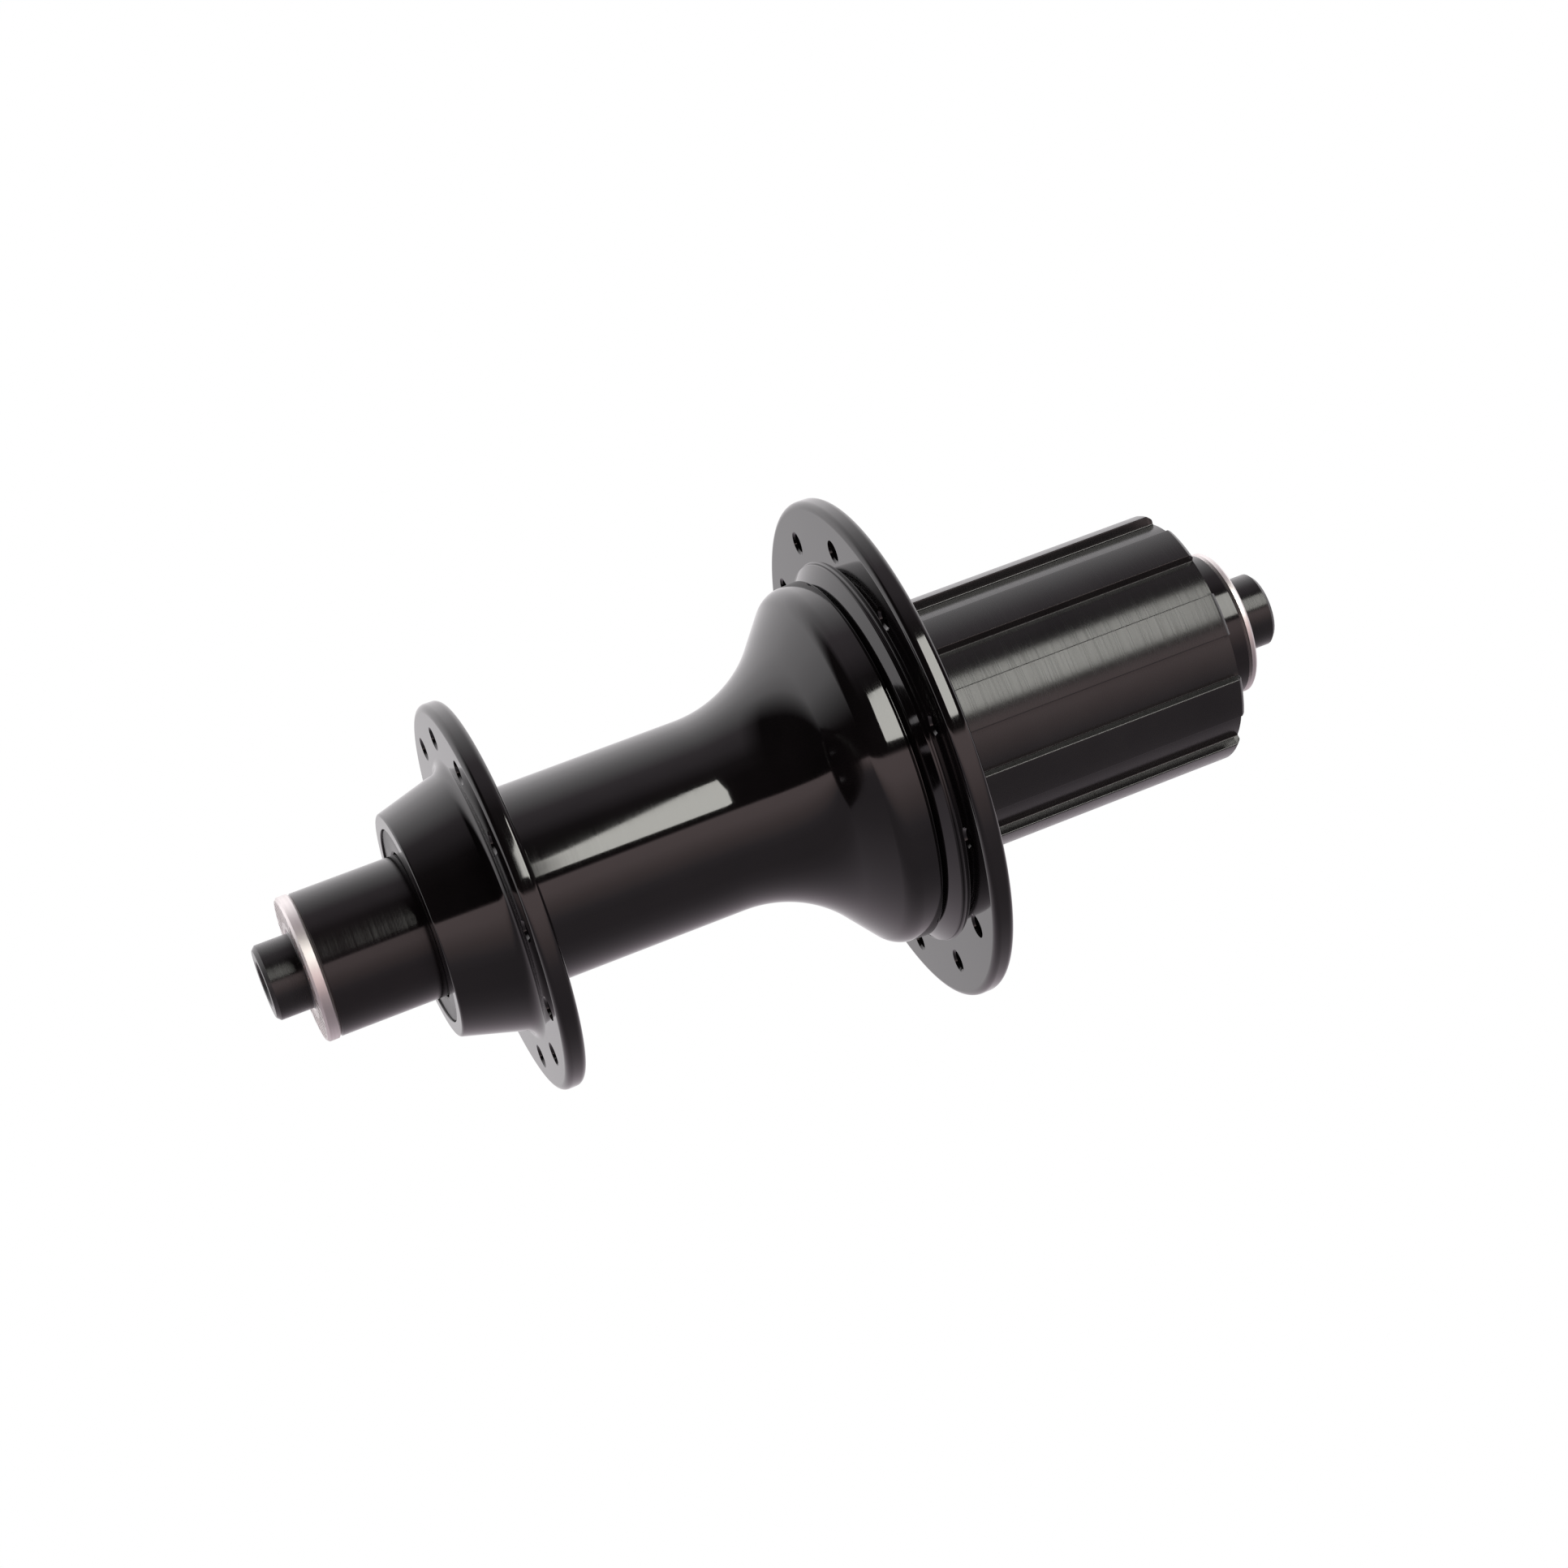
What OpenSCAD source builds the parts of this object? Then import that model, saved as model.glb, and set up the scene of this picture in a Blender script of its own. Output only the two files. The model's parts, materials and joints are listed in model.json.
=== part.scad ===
// Rear road-bicycle hub: quick-release axle, 24 spoke holes, nine-spline freehub.
// Frame: origin on the axle line, midway between the two dropout faces.
// X forward, Y to the rider's left, Z up. The drive side is -Y.
// Every turned part is drawn along a local axle line whose positive end is the
// drive side, and on_axle() lays that line along Y.

/* [Hub width] */
// Distance between the two dropout faces
over_locknut = 130; // [130:1:135]
// How far the left axle stub stands out past its dropout face
left_stub_length = 4.8; // [4:0.1:5.5]
// How far the right axle stub stands out past its dropout face
right_stub_length = 5.5; // [4.5:0.1:6.5]
// Diameter of the axle stubs that sit in the dropouts
stub_d = 9.9; // [9.5:0.1:10]
// Bore through the axle for the quick-release skewer
skewer_bore_d = 5.4; // [5.1:0.1:6]

/* [Hub shell] */
// Diameter of the straight barrel
barrel_d = 25.86; // [25:0.1:27]
// Largest diameter of the flared drive-side bell
bell_d = 48.8; // [48:0.2:50]
// Outside diameter of the left flange
left_flange_d = 51.8; // [51:0.2:54]
// Outside diameter of the right flange
right_flange_d = 68; // [67:0.5:72]
// Thickness of each flange
flange_t = 2.8; // [2.6:0.1:3]
// Spoke-hole circle on the left flange
left_pcd = 43.4; // [42.6:0.2:44]
// Spoke-hole circle on the right flange
right_pcd = 58; // [57.4:0.2:60]
// Spoke holes in each flange
holes_per_flange = 12; // [10:2:14]
// Diameter of a spoke hole
spoke_hole_d = 2.6; // [2.4:0.1:2.8]
// Diameter of the countersink round a spoke hole
countersink_d = 3.2; // [3:0.1:4.2]

/* [Freehub] */
// Diameter over the splines
spline_d = 34.2; // [34:0.1:34.6]
// Diameter at the bottom of the spline valleys
spline_root_d = 31.6; // [31.4:0.1:32]
// Number of splines
splines = 9; // [9:9]
// Angle that one rib takes
rib_angle = 19.5; // [18:0.5:21]
// Ratchet teeth inside the shell
ratchet_teeth = 24; // [24:24]
// Pawls on the freehub
pawls = 3; // [3:3]

/* [End caps] */
// Diameter of the left end cap
left_cap_d = 18.9; // [18.6:0.1:19]
// Diameter of the right end cap
right_cap_d = 19.4; // [19:0.1:19.6]
// Thickness of the left serrated washer
left_washer_t = 1.8; // [1.6:0.1:2.2]
// Thickness of the right serrated washer
right_washer_t = 1.1; // [1.1:0.1:1.4]

/* [Hidden] */
$fn = 96;

// Colours
black_anodised = "#141416";
satin_black = "#2a2a2d";
silver = "#c9c4c2";
steel = "#8f9296";
bright_steel = "#b9bcc0";
rubber_black = "#101010";
cage_brass = "#b08a4a";
seal_blue = "#20304f";

half_width = over_locknut / 2;
stub_r = stub_d / 2;
stub_chamfer = 0.5;
seat_r = 5.2;          // axle under the end caps and washers
stub_root = half_width + 0.1; // where a stub reaches its own diameter
seat_end = stub_root - (seat_r - stub_r);
fit = 0.05;            // sliding clearance on radius
small_chamfer = 0.35;
overcut = 1;           // how far a cutting tool runs past the work

// Bearings: [start along the axle, inner radius, outer radius, width, ball diameter, balls]
left_bearing = [-47.4, 6, 12, 6, 3.175, 11];
right_bearing = [0.6, 7.5, 14, 7, 3.969, 11];
freehub_bearing_a = [17.8, 7.5, 12, 5, 2.381, 16];
freehub_bearing_b = [45.1, 7.5, 12, 5, 2.381, 16];
function b_start(b) = b[0];
function b_bore(b) = b[1];
function b_outer(b) = b[2];
function b_width(b) = b[3];
function b_end(b) = b[0] + b[3];
function b_pitch(b) = (b[1] + b[2]) / 2;
land_offset = 0.30;    // race lands, in ball diameters from the pitch circle
groove_ratio = 0.515;  // race groove radius over ball diameter
seal_t = 0.5;
seal_inset = 0.2;
seal_recess = 0.35;

// Axle diameters between the parts that sit on it
axle_left_r = b_bore(left_bearing);
axle_main_r = b_bore(right_bearing);
axle_collar_r = 9;
axle_collar_t = 2;
axle_main_end = b_end(freehub_bearing_b) - 0.2;

// Left housing of the shell
housing_face = -49.4;
housing_small_r = 14.85;
housing_large_r = 16.55;
housing_cone_end = -42.5;
dust_seal_bore_r = 12.9;
dust_seal_end = b_start(left_bearing) - 0.4;
housing_fillet = 1.9;

// Flanges
left_flange_face = -40;
right_flange_face = 14.3;
rim_round = 0.9;
left_flange_r = left_flange_d / 2;
right_flange_r = right_flange_d / 2;
shell_end = right_flange_face + flange_t;
barrel_r = barrel_d / 2;
barrel_fillet = 1.5;
hole_pitch = 360 / holes_per_flange;

// Bell between the barrel and the right flange: a hollow curve, a cone, a shoulder, a land
bell_start = -9.7;
bell_hollow_r = 17.3;
bell_slope = 50;
bell_shoulder_r = 3.4;
bell_r = bell_d / 2;
bell_land_slope = 2.4; // of the nearly straight land behind the shoulder
bell_land_end = 11.5;
bell_back_round = 0.4; // rounding where the land drops into the groove
groove_floor_r = 23.4;
groove_w = 0.4;
collar_r = 25.9;
collar_start_r = 23.8; // where the collar's conical front face starts
collar_cone_w = 1.35;
collar_edge = 0.2;
collar_foot = 0.3;     // chamfer where the collar meets the flange

// Shell bores
core_r = 10.4;
ratchet_bore_r = 19.5;
ratchet_bore_start = 8.1;

// Ratchet ring and pawls
ring_start = 9.1;
ring_end = 15;
tooth_root_r = 18;
tooth_tip_r = 16.2;
tooth_land = 0.3;      // angle left flat at a tooth tip
carrier_r = 15.6;
carrier_start = 8.7;
carrier_bore_r = 10.4;
pocket_start = 9.4;
pocket_end = 14.8;
pawl_gap = 0.15;
heel = [12.3, 7.0];    // pawl pivot, from the radial line through its tooth face
heel_r = 1.35;
socket_r = 1.4;
pawl_fold = 12;        // how far a pawl is folded in from full reach, in degrees

// Freehub body
stop_start = 17.5;
stop_end = 19.6;
stop_r = 18.3;
freehub_end = 59.1;
spline_r = spline_d / 2;
root_r = spline_root_d / 2;
spline_pitch = 360 / splines;
spline_phase = 118;
narrow_valley = 6;     // how much narrower the keyed valley is, in degrees
keyed_valley = 4;      // which valley is keyed, counted from the first rib
freehub_bore_r = b_outer(freehub_bearing_b);
lockring_bore_r = 14.9;
lockring_bore_start = 52.3;
circlip_start = b_end(freehub_bearing_b) + 0.1;
circlip_t = 0.9;
circlip_groove_r = 12.9;
circlip_groove_w = 1.1;
circlip_inner_r = 11.1;
spacer_outer_r = 8.9;  // of the sleeves between the inner races
outer_spacer_inner_r = 10.95;
thread_turns = 5;
thread_pitch = 1;
thread_start = 1.2;    // from the shoulder of the lockring bore to the first turn
thread_depth = 0.45;
thread_half_w = 0.4;

// End caps
right_cap_r = right_cap_d / 2;
left_cap_r = left_cap_d / 2;
cap_nose_left_r = 7.9;
cap_nose_right_r = 8.8;
cap_collar_start = 53.6;
left_washer_in = -half_width + left_washer_t;
right_washer_in = half_width - right_washer_t;
serrations = 30;
serration_depth = 0.25;
serration_w = 0.5;
serration_inner_r = 6.4;
serration_edge = 0.6;  // plain rim left outside the serrations
washer_chamfer = 0.3;
o_ring_section_r = 0.32;
o_ring_r = seat_r + fit - o_ring_section_r;
o_ring_groove_r = seat_r - 0.6;
o_ring_groove_w = 0.8;
left_o_ring_at = -55;
right_o_ring_at = 57;

// Points along an arc about c, from angle a0 to a1
function arc(c, r, a0, a1, steps = 8) =
    [for (i = [0 : steps]) let (a = a0 + (a1 - a0) * i / steps) c + r * [cos(a), sin(a)]];
// Point at radius r and angle a
function polar(r, a) = [r * cos(a), r * sin(a)];

// Lays the local axle line along Y with its positive end on the drive side
module on_axle() {
    rotate([90, 0, 0])
        children();
}

// Solid turned from a profile of [distance along the axle, radius] points
module turned(profile) {
    rotate_extrude()
        polygon([for (p = profile) [p[1], p[0]]]);
}

// Plain tube between two places along the axle
module tube(start, end, inner, outer) {
    turned([[start, inner], [end, inner], [end, outer], [start, outer]]);
}

// Tube with all four edges chamfered
module chamfered_tube(start, end, inner, outer, chamfer) {
    turned([
        [start, inner + chamfer], [start + chamfer, inner],
        [end - chamfer, inner], [end, inner + chamfer],
        [end, outer - chamfer], [end - chamfer, outer],
        [start + chamfer, outer], [start, outer - chamfer]
    ]);
}

module axle() {
    bore = skewer_bore_d / 2;
    left_tip = -half_width - left_stub_length;
    right_tip = half_width + right_stub_length;
    left_step = b_start(left_bearing) + 0.1;
    color(satin_black)
        on_axle()
            difference() {
                turned([
                    [left_tip, bore + small_chamfer], [left_tip + small_chamfer, bore],
                    [right_tip - small_chamfer, bore], [right_tip, bore + small_chamfer],
                    [right_tip, stub_r - stub_chamfer], [right_tip - stub_chamfer, stub_r],
                    [stub_root, stub_r], [seat_end, seat_r],
                    [axle_main_end, seat_r], [axle_main_end, axle_main_r],
                    [b_start(right_bearing), axle_main_r],
                    [b_start(right_bearing), axle_collar_r],
                    [b_start(right_bearing) - axle_collar_t, axle_collar_r],
                    [b_start(right_bearing) - axle_collar_t, axle_main_r],
                    [b_end(left_bearing), axle_main_r],
                    [b_end(left_bearing), axle_left_r],
                    [left_step, axle_left_r], [left_step, seat_r],
                    [-seat_end, seat_r], [-stub_root, stub_r],
                    [left_tip + stub_chamfer, stub_r], [left_tip, stub_r - stub_chamfer]
                ]);
                for (at = [left_o_ring_at, right_o_ring_at])
                    translate([0, 0, at])
                        tube(-o_ring_groove_w / 2, o_ring_groove_w / 2, o_ring_groove_r, seat_r + overcut);
            }
}

module end_cap_o_rings() {
    color(rubber_black)
        on_axle()
            for (at = [left_o_ring_at, right_o_ring_at])
                translate([0, 0, at])
                    rotate_extrude()
                        translate([o_ring_r, 0])
                            circle(r = o_ring_section_r, $fn = 24);
}

module left_end_cap() {
    bore = seat_r + fit;
    nose_start = dust_seal_end - 0.2;
    color(black_anodised)
        on_axle()
            turned([
                [left_washer_in, bore + small_chamfer], [left_washer_in + small_chamfer, bore],
                [b_start(left_bearing), bore], [b_start(left_bearing), cap_nose_left_r],
                [nose_start, cap_nose_left_r], [nose_start, left_cap_r - small_chamfer],
                [nose_start - small_chamfer, left_cap_r],
                [left_washer_in + 0.2, left_cap_r], [left_washer_in, left_cap_r - 0.2]
            ]);
}

module right_end_cap() {
    bore = seat_r + fit;
    color(black_anodised)
        on_axle()
            turned([
                [b_end(freehub_bearing_b), bore], [right_washer_in - small_chamfer, bore],
                [right_washer_in, bore + small_chamfer], [right_washer_in, right_cap_r - 0.2],
                [right_washer_in - 0.2, right_cap_r],
                [cap_collar_start + small_chamfer, right_cap_r],
                [cap_collar_start, right_cap_r - small_chamfer],
                [cap_collar_start, cap_nose_right_r], [b_end(freehub_bearing_b), cap_nose_right_r]
            ]);
}

// Washer whose face at `face` bears on the dropout and has radial serrations
module serrated_washer(inner_end, face, outer) {
    color(silver)
        on_axle()
            difference() {
                chamfered_tube(
                    min(inner_end, face), max(inner_end, face), seat_r + fit, outer, washer_chamfer
                );
                for (i = [0 : serrations - 1])
                    rotate([0, 0, i * 360 / serrations])
                        translate([serration_inner_r, -serration_w / 2, face - serration_depth])
                            cube([
                                outer - serration_edge - serration_inner_r,
                                serration_w, 2 * serration_depth
                            ]);
            }
}

module left_washer() {
    serrated_washer(left_washer_in, -half_width, left_cap_r + 0.1);
}

module right_washer() {
    serrated_washer(right_washer_in, half_width, right_cap_r);
}

module bearing_spacer() {
    color(silver)
        on_axle()
            tube(b_end(right_bearing), b_start(freehub_bearing_a), axle_main_r + fit, spacer_outer_r);
}

module freehub_inner_spacer() {
    color(silver)
        on_axle()
            tube(
                b_end(freehub_bearing_a), b_start(freehub_bearing_b),
                axle_main_r + fit, spacer_outer_r
            );
}

module freehub_outer_spacer() {
    color(silver)
        on_axle()
            tube(
                b_end(freehub_bearing_a), b_start(freehub_bearing_b),
                outer_spacer_inner_r, freehub_bore_r - fit
            );
}

// Outline of the flared bell from the barrel to the back end of its land
function bell_outline() =
    let (
        hollow = [for (i = [0 : 10]) let (a = bell_slope * i / 10)
            [bell_start + bell_hollow_r * sin(a), barrel_r + bell_hollow_r * (1 - cos(a))]],
        foot = hollow[10],
        land_fall = tan(bell_land_slope),
        cone_rise = tan(bell_slope),
        turn = bell_shoulder_r * (sin(bell_slope) - sin(bell_land_slope)),
        bulge = bell_shoulder_r * (cos(bell_land_slope) - cos(bell_slope)),
        height = bell_r - foot[1] - bulge - (bell_land_end - foot[0] - turn) * land_fall,
        run = height / (cone_rise - land_fall),
        top = foot + [run, run * cone_rise],
        centre = top + bell_shoulder_r * [sin(bell_slope), -cos(bell_slope)]
    )
    concat(hollow, [for (i = [0 : 8]) let (a = bell_slope + (bell_land_slope - bell_slope) * i / 8)
        centre + bell_shoulder_r * [-sin(a), cos(a)]], [[bell_land_end, bell_r]]);

// Outline of a flange rim with both edges rounded, from its front face to its back face
function rim_outline(face, radius) = concat(
    arc([face + rim_round, radius - rim_round], rim_round, 180, 90, 6),
    arc([face + flange_t - rim_round, radius - rim_round], rim_round, 90, 0, 6)
);

function shell_outline() = let (
        slope = atan2(housing_large_r - housing_small_r, housing_cone_end - housing_face),
        groove_start = bell_land_end + bell_back_round,
        groove_end = groove_start + groove_w
    )
    concat(
        [[housing_face, dust_seal_bore_r], [housing_face, housing_small_r - small_chamfer]],
        [[housing_face + small_chamfer, housing_small_r]],
        arc([left_flange_face - housing_fillet, housing_large_r + 0.5 + housing_fillet],
            housing_fillet, slope - 90, 0, 6),
        rim_outline(left_flange_face, left_flange_r),
        arc([left_flange_face + flange_t + barrel_fillet, barrel_r + barrel_fillet],
            barrel_fillet, 180, 270, 6),
        bell_outline(),
        arc([bell_land_end, bell_r - bell_back_round], bell_back_round, 75, 0, 4),
        [[groove_start, groove_floor_r], [groove_end, groove_floor_r]],
        [[groove_end, collar_start_r], [groove_end + collar_cone_w, collar_r - collar_edge]],
        [[groove_end + collar_cone_w + collar_edge, collar_r]],
        [[right_flange_face - collar_foot, collar_r], [right_flange_face, collar_r + collar_foot]],
        rim_outline(right_flange_face, right_flange_r),
        [[shell_end, ratchet_bore_r]]
    );

function shell_bore() = [
    [ratchet_bore_start, ratchet_bore_r], [ratchet_bore_start, b_outer(right_bearing)],
    [b_start(right_bearing), b_outer(right_bearing)], [b_start(right_bearing), core_r],
    [b_end(left_bearing), core_r], [b_end(left_bearing), b_outer(left_bearing)],
    [dust_seal_end, b_outer(left_bearing)], [dust_seal_end, dust_seal_bore_r]
];

// One ring of countersunk spoke holes through the flange whose front face is at `face`
module spoke_holes(face, pcd, phase) {
    sink = (countersink_d - spoke_hole_d) / 2;
    for (i = [0 : holes_per_flange - 1])
        rotate([0, 0, phase + i * hole_pitch])
            translate([pcd / 2, 0, face]) {
                translate([0, 0, -overcut])
                    cylinder(d = spoke_hole_d, h = flange_t + 2 * overcut, $fn = 24);
                translate([0, 0, -0.01])
                    cylinder(d1 = countersink_d, d2 = spoke_hole_d, h = sink, $fn = 24);
                translate([0, 0, flange_t + 0.01 - sink])
                    cylinder(d1 = spoke_hole_d, d2 = countersink_d, h = sink, $fn = 24);
            }
}

module hub_shell() {
    color(black_anodised)
        on_axle()
            difference() {
                turned(concat(shell_outline(), shell_bore()));
                spoke_holes(left_flange_face, left_pcd, hole_pitch / 2);
                spoke_holes(right_flange_face, right_pcd, 0);
            }
}

module left_dust_seal() {
    color(rubber_black)
        on_axle()
            chamfered_tube(housing_face + 0.25, dust_seal_end, left_cap_r + 0.25, dust_seal_bore_r, 0.2);
}

module ratchet_seal() {
    color(rubber_black)
        on_axle()
            chamfered_tube(ring_end + 0.4, shell_end - 0.1, carrier_r + 0.2, ratchet_bore_r, 0.2);
}

// Saw-tooth hole of the ratchet: each tooth falls along a ramp and ends in a steep face
module ratchet_hole() {
    tooth = 360 / ratchet_teeth;
    polygon([for (i = [0 : ratchet_teeth - 1]) each [
        polar(tooth_root_r, i * tooth),
        polar(tooth_tip_r, (i + 1) * tooth - tooth_land),
        polar(tooth_tip_r, (i + 1) * tooth)
    ]]);
}

module ratchet_ring() {
    color(steel)
        on_axle()
            translate([0, 0, ring_start])
                linear_extrude(ring_end - ring_start)
                    difference() {
                        circle(r = ratchet_bore_r);
                        ratchet_hole();
                    }
}

// Places a child at each pawl, turned by whole thirds of a turn
module at_pawl(i) {
    rotate([0, 0, i * 360 / pawls])
        children();
}

// Outline of a pawl at full reach, with its tip behind a tooth
module pawl_outline() {
    across = [0.86, 0.51];
    polygon([
        [17.15, 1.15], heel + heel_r * across,
        heel - heel_r * across, [14.9, 1.15]
    ]);
    translate(heel)
        circle(r = heel_r, $fn = 48);
}

// Pocket for a pawl: a round socket for its heel and room for it to fold inward
module pocket_outline() {
    polygon([
        [20, -0.25], [13.05, -0.25], [10.85, 6.3], heel,
        heel + socket_r * [0.79, 0.61], [15.4, 9.4], [18, 12]
    ]);
    translate(heel)
        circle(r = socket_r, $fn = 48);
}

// A pawl folded in clear of the teeth, as it rides when coasting
module pawl(i) {
    color(bright_steel)
        on_axle()
            at_pawl(i)
                translate([0, 0, pocket_start + pawl_gap])
                    linear_extrude(pocket_end - pocket_start - 2 * pawl_gap)
                        translate(heel)
                            rotate(-pawl_fold)
                                translate(-heel)
                                    pawl_outline();
}

module pawl_1() { pawl(0); }
module pawl_2() { pawl(1); }
module pawl_3() { pawl(2); }

module pawl_springs() {
    leaf_w = 3;
    leaf_start = (pocket_start + pocket_end - leaf_w) / 2;
    color(bright_steel)
        on_axle()
            for (i = [0 : pawls - 1])
                at_pawl(i)
                    translate([0, 0, leaf_start])
                        linear_extrude(leaf_w)
                            polygon([
                                [11.36, 4.9], [11.93, 3.2], [12.86, 0.8],
                                [13.11, 0.8], [12.18, 3.2], [11.61, 4.9]
                            ]);
}

// Freehub body before its splines and pockets are cut
module freehub_blank() {
    groove_stop = circlip_start + circlip_groove_w;
    turned([
        [carrier_start, carrier_bore_r], [b_start(freehub_bearing_a), carrier_bore_r],
        [b_start(freehub_bearing_a), freehub_bore_r],
        [circlip_start, freehub_bore_r], [circlip_start, circlip_groove_r],
        [groove_stop, circlip_groove_r], [groove_stop, freehub_bore_r],
        [lockring_bore_start, freehub_bore_r], [lockring_bore_start, lockring_bore_r],
        [freehub_end - 0.4, lockring_bore_r], [freehub_end, lockring_bore_r + 0.4],
        [freehub_end, spline_r - 0.7], [freehub_end - 0.7, spline_r],
        [stop_end, spline_r], [stop_end, stop_r - 0.3], [stop_end - 0.3, stop_r],
        [stop_start + 0.3, stop_r], [stop_start, stop_r - 0.3],
        [stop_start, carrier_r], [carrier_start + 0.3, carrier_r], [carrier_start, carrier_r - 0.3]
    ]);
}

// Cross-section of one spline valley, centred on the angle `at`
module valley_outline(at, width) {
    difference() {
        polygon([
            [0, 0], polar(stop_r + 2, at - width / 2),
            polar(stop_r + 2, at), polar(stop_r + 2, at + width / 2)
        ]);
        circle(r = root_r);
    }
}

module spline_valleys() {
    valley = spline_pitch - rib_angle;
    translate([0, 0, stop_end])
        linear_extrude(freehub_end - stop_end + overcut)
            for (i = [0 : splines - 1])
                valley_outline(
                    spline_phase + (i + 0.5) * spline_pitch,
                    i == keyed_valley ? valley - narrow_valley : valley
                );
}

// Grooves of the lockring thread, drawn as plain rings
module lockring_thread() {
    for (i = [0 : thread_turns - 1])
        translate([0, 0, lockring_bore_start + thread_start + i * thread_pitch])
            turned([
                [-thread_half_w, lockring_bore_r - 0.1],
                [0, lockring_bore_r + thread_depth],
                [thread_half_w, lockring_bore_r - 0.1]
            ]);
}

module freehub_body() {
    color(satin_black)
        on_axle()
            difference() {
                freehub_blank();
                spline_valleys();
                lockring_thread();
                for (i = [0 : pawls - 1])
                    at_pawl(i)
                        translate([0, 0, pocket_start])
                            linear_extrude(pocket_end - pocket_start)
                                pocket_outline();
            }
}

module freehub_circlip() {
    gap = 40;
    ear_r = 1.3;
    ear_at = gap / 2 + 5;
    color(steel)
        on_axle()
            translate([0, 0, circlip_start])
                linear_extrude(circlip_t)
                    difference() {
                        union() {
                            difference() {
                                circle(r = circlip_groove_r - 0.1);
                                circle(r = circlip_inner_r);
                                polygon([[0, 0], polar(20, -gap / 2), polar(20, gap / 2)]);
                            }
                            for (side = [-1, 1])
                                translate(polar(10.9, side * ear_at))
                                    circle(r = ear_r, $fn = 32);
                        }
                        for (side = [-1, 1])
                            translate(polar(10.8, side * ear_at))
                                circle(r = 0.6, $fn = 24);
                    }
}

module freehub_dust_seal() {
    color(rubber_black)
        on_axle()
            tube(
                circlip_start + circlip_groove_w + 0.05, lockring_bore_start - 0.05,
                cap_nose_right_r + 0.35, freehub_bore_r
            );
}

// Cartridge bearing pieces. Each is drawn about the bearing's own middle.
module at_bearing(b) {
    on_axle()
        translate([0, 0, b_start(b) + b_width(b) / 2])
            children();
}

module race_groove(b) {
    rotate_extrude()
        translate([b_pitch(b), 0])
            circle(r = groove_ratio * b[4], $fn = 64);
}

module inner_race(b) {
    half = b_width(b) / 2;
    color(bright_steel)
        at_bearing(b)
            difference() {
                chamfered_tube(-half, half, b_bore(b), b_pitch(b) - land_offset * b[4], 0.15);
                race_groove(b);
            }
}

module outer_race(b) {
    half = b_width(b) / 2;
    land = b_pitch(b) + land_offset * b[4];
    recess = half - seal_t - seal_inset;
    color(bright_steel)
        at_bearing(b)
            difference() {
                turned([
                    [-half, land + seal_recess], [-recess, land + seal_recess], [-recess, land],
                    [recess, land], [recess, land + seal_recess], [half, land + seal_recess],
                    [half, b_outer(b) - 0.2], [half - 0.2, b_outer(b)],
                    [-half + 0.2, b_outer(b)], [-half, b_outer(b) - 0.2]
                ]);
                race_groove(b);
            }
}

module balls(b) {
    color(silver)
        at_bearing(b)
            for (i = [0 : b[5] - 1])
                rotate([0, 0, i * 360 / b[5]])
                    translate([b_pitch(b), 0, 0])
                        sphere(d = b[4], $fn = 32);
}

module cage(b) {
    web = 0.18 * b[4];
    half = 0.6 * b[4];
    color(cage_brass)
        at_bearing(b)
            difference() {
                tube(-half, half, b_pitch(b) - web, b_pitch(b) + web);
                for (i = [0 : b[5] - 1])
                    rotate([0, 0, i * 360 / b[5]])
                        rotate([0, 90, 0])
                            translate([0, 0, b_pitch(b) - b[4] / 2])
                                cylinder(d = 1.06 * b[4], h = b[4], $fn = 32);
            }
}

module seals(b) {
    half = b_width(b) / 2;
    inner = b_pitch(b) - land_offset * b[4] + 0.12;
    outer = b_pitch(b) + land_offset * b[4] + seal_recess;
    color(seal_blue)
        at_bearing(b)
            for (side = [-1, 1])
                translate([0, 0, side * (half - seal_inset - seal_t / 2)])
                    tube(-seal_t / 2, seal_t / 2, inner, outer);
}

axle();
left_end_cap();
right_end_cap();
left_washer();
right_washer();
end_cap_o_rings();
bearing_spacer();
freehub_inner_spacer();
hub_shell();
ratchet_ring();
left_dust_seal();
ratchet_seal();
freehub_body();
freehub_outer_spacer();
freehub_circlip();
freehub_dust_seal();
pawl_springs();
pawl_1();
pawl_2();
pawl_3();
inner_race(left_bearing);  // left_bearing_inner_race
outer_race(left_bearing);  // left_bearing_outer_race
balls(left_bearing);  // left_bearing_balls
cage(left_bearing);  // left_bearing_cage
seals(left_bearing);  // left_bearing_seals
inner_race(right_bearing);  // right_bearing_inner_race
outer_race(right_bearing);  // right_bearing_outer_race
balls(right_bearing);  // right_bearing_balls
cage(right_bearing);  // right_bearing_cage
seals(right_bearing);  // right_bearing_seals
inner_race(freehub_bearing_a);  // freehub_bearing_a_inner_race
outer_race(freehub_bearing_a);  // freehub_bearing_a_outer_race
balls(freehub_bearing_a);  // freehub_bearing_a_balls
cage(freehub_bearing_a);  // freehub_bearing_a_cage
seals(freehub_bearing_a);  // freehub_bearing_a_seals
inner_race(freehub_bearing_b);  // freehub_bearing_b_inner_race
outer_race(freehub_bearing_b);  // freehub_bearing_b_outer_race
balls(freehub_bearing_b);  // freehub_bearing_b_balls
cage(freehub_bearing_b);  // freehub_bearing_b_cage
seals(freehub_bearing_b);  // freehub_bearing_b_seals
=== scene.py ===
# The looks of a black quick-release rear hub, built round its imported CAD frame.
import json
import math

import bmesh
import bpy
from mathutils import Matrix, Vector

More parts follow.
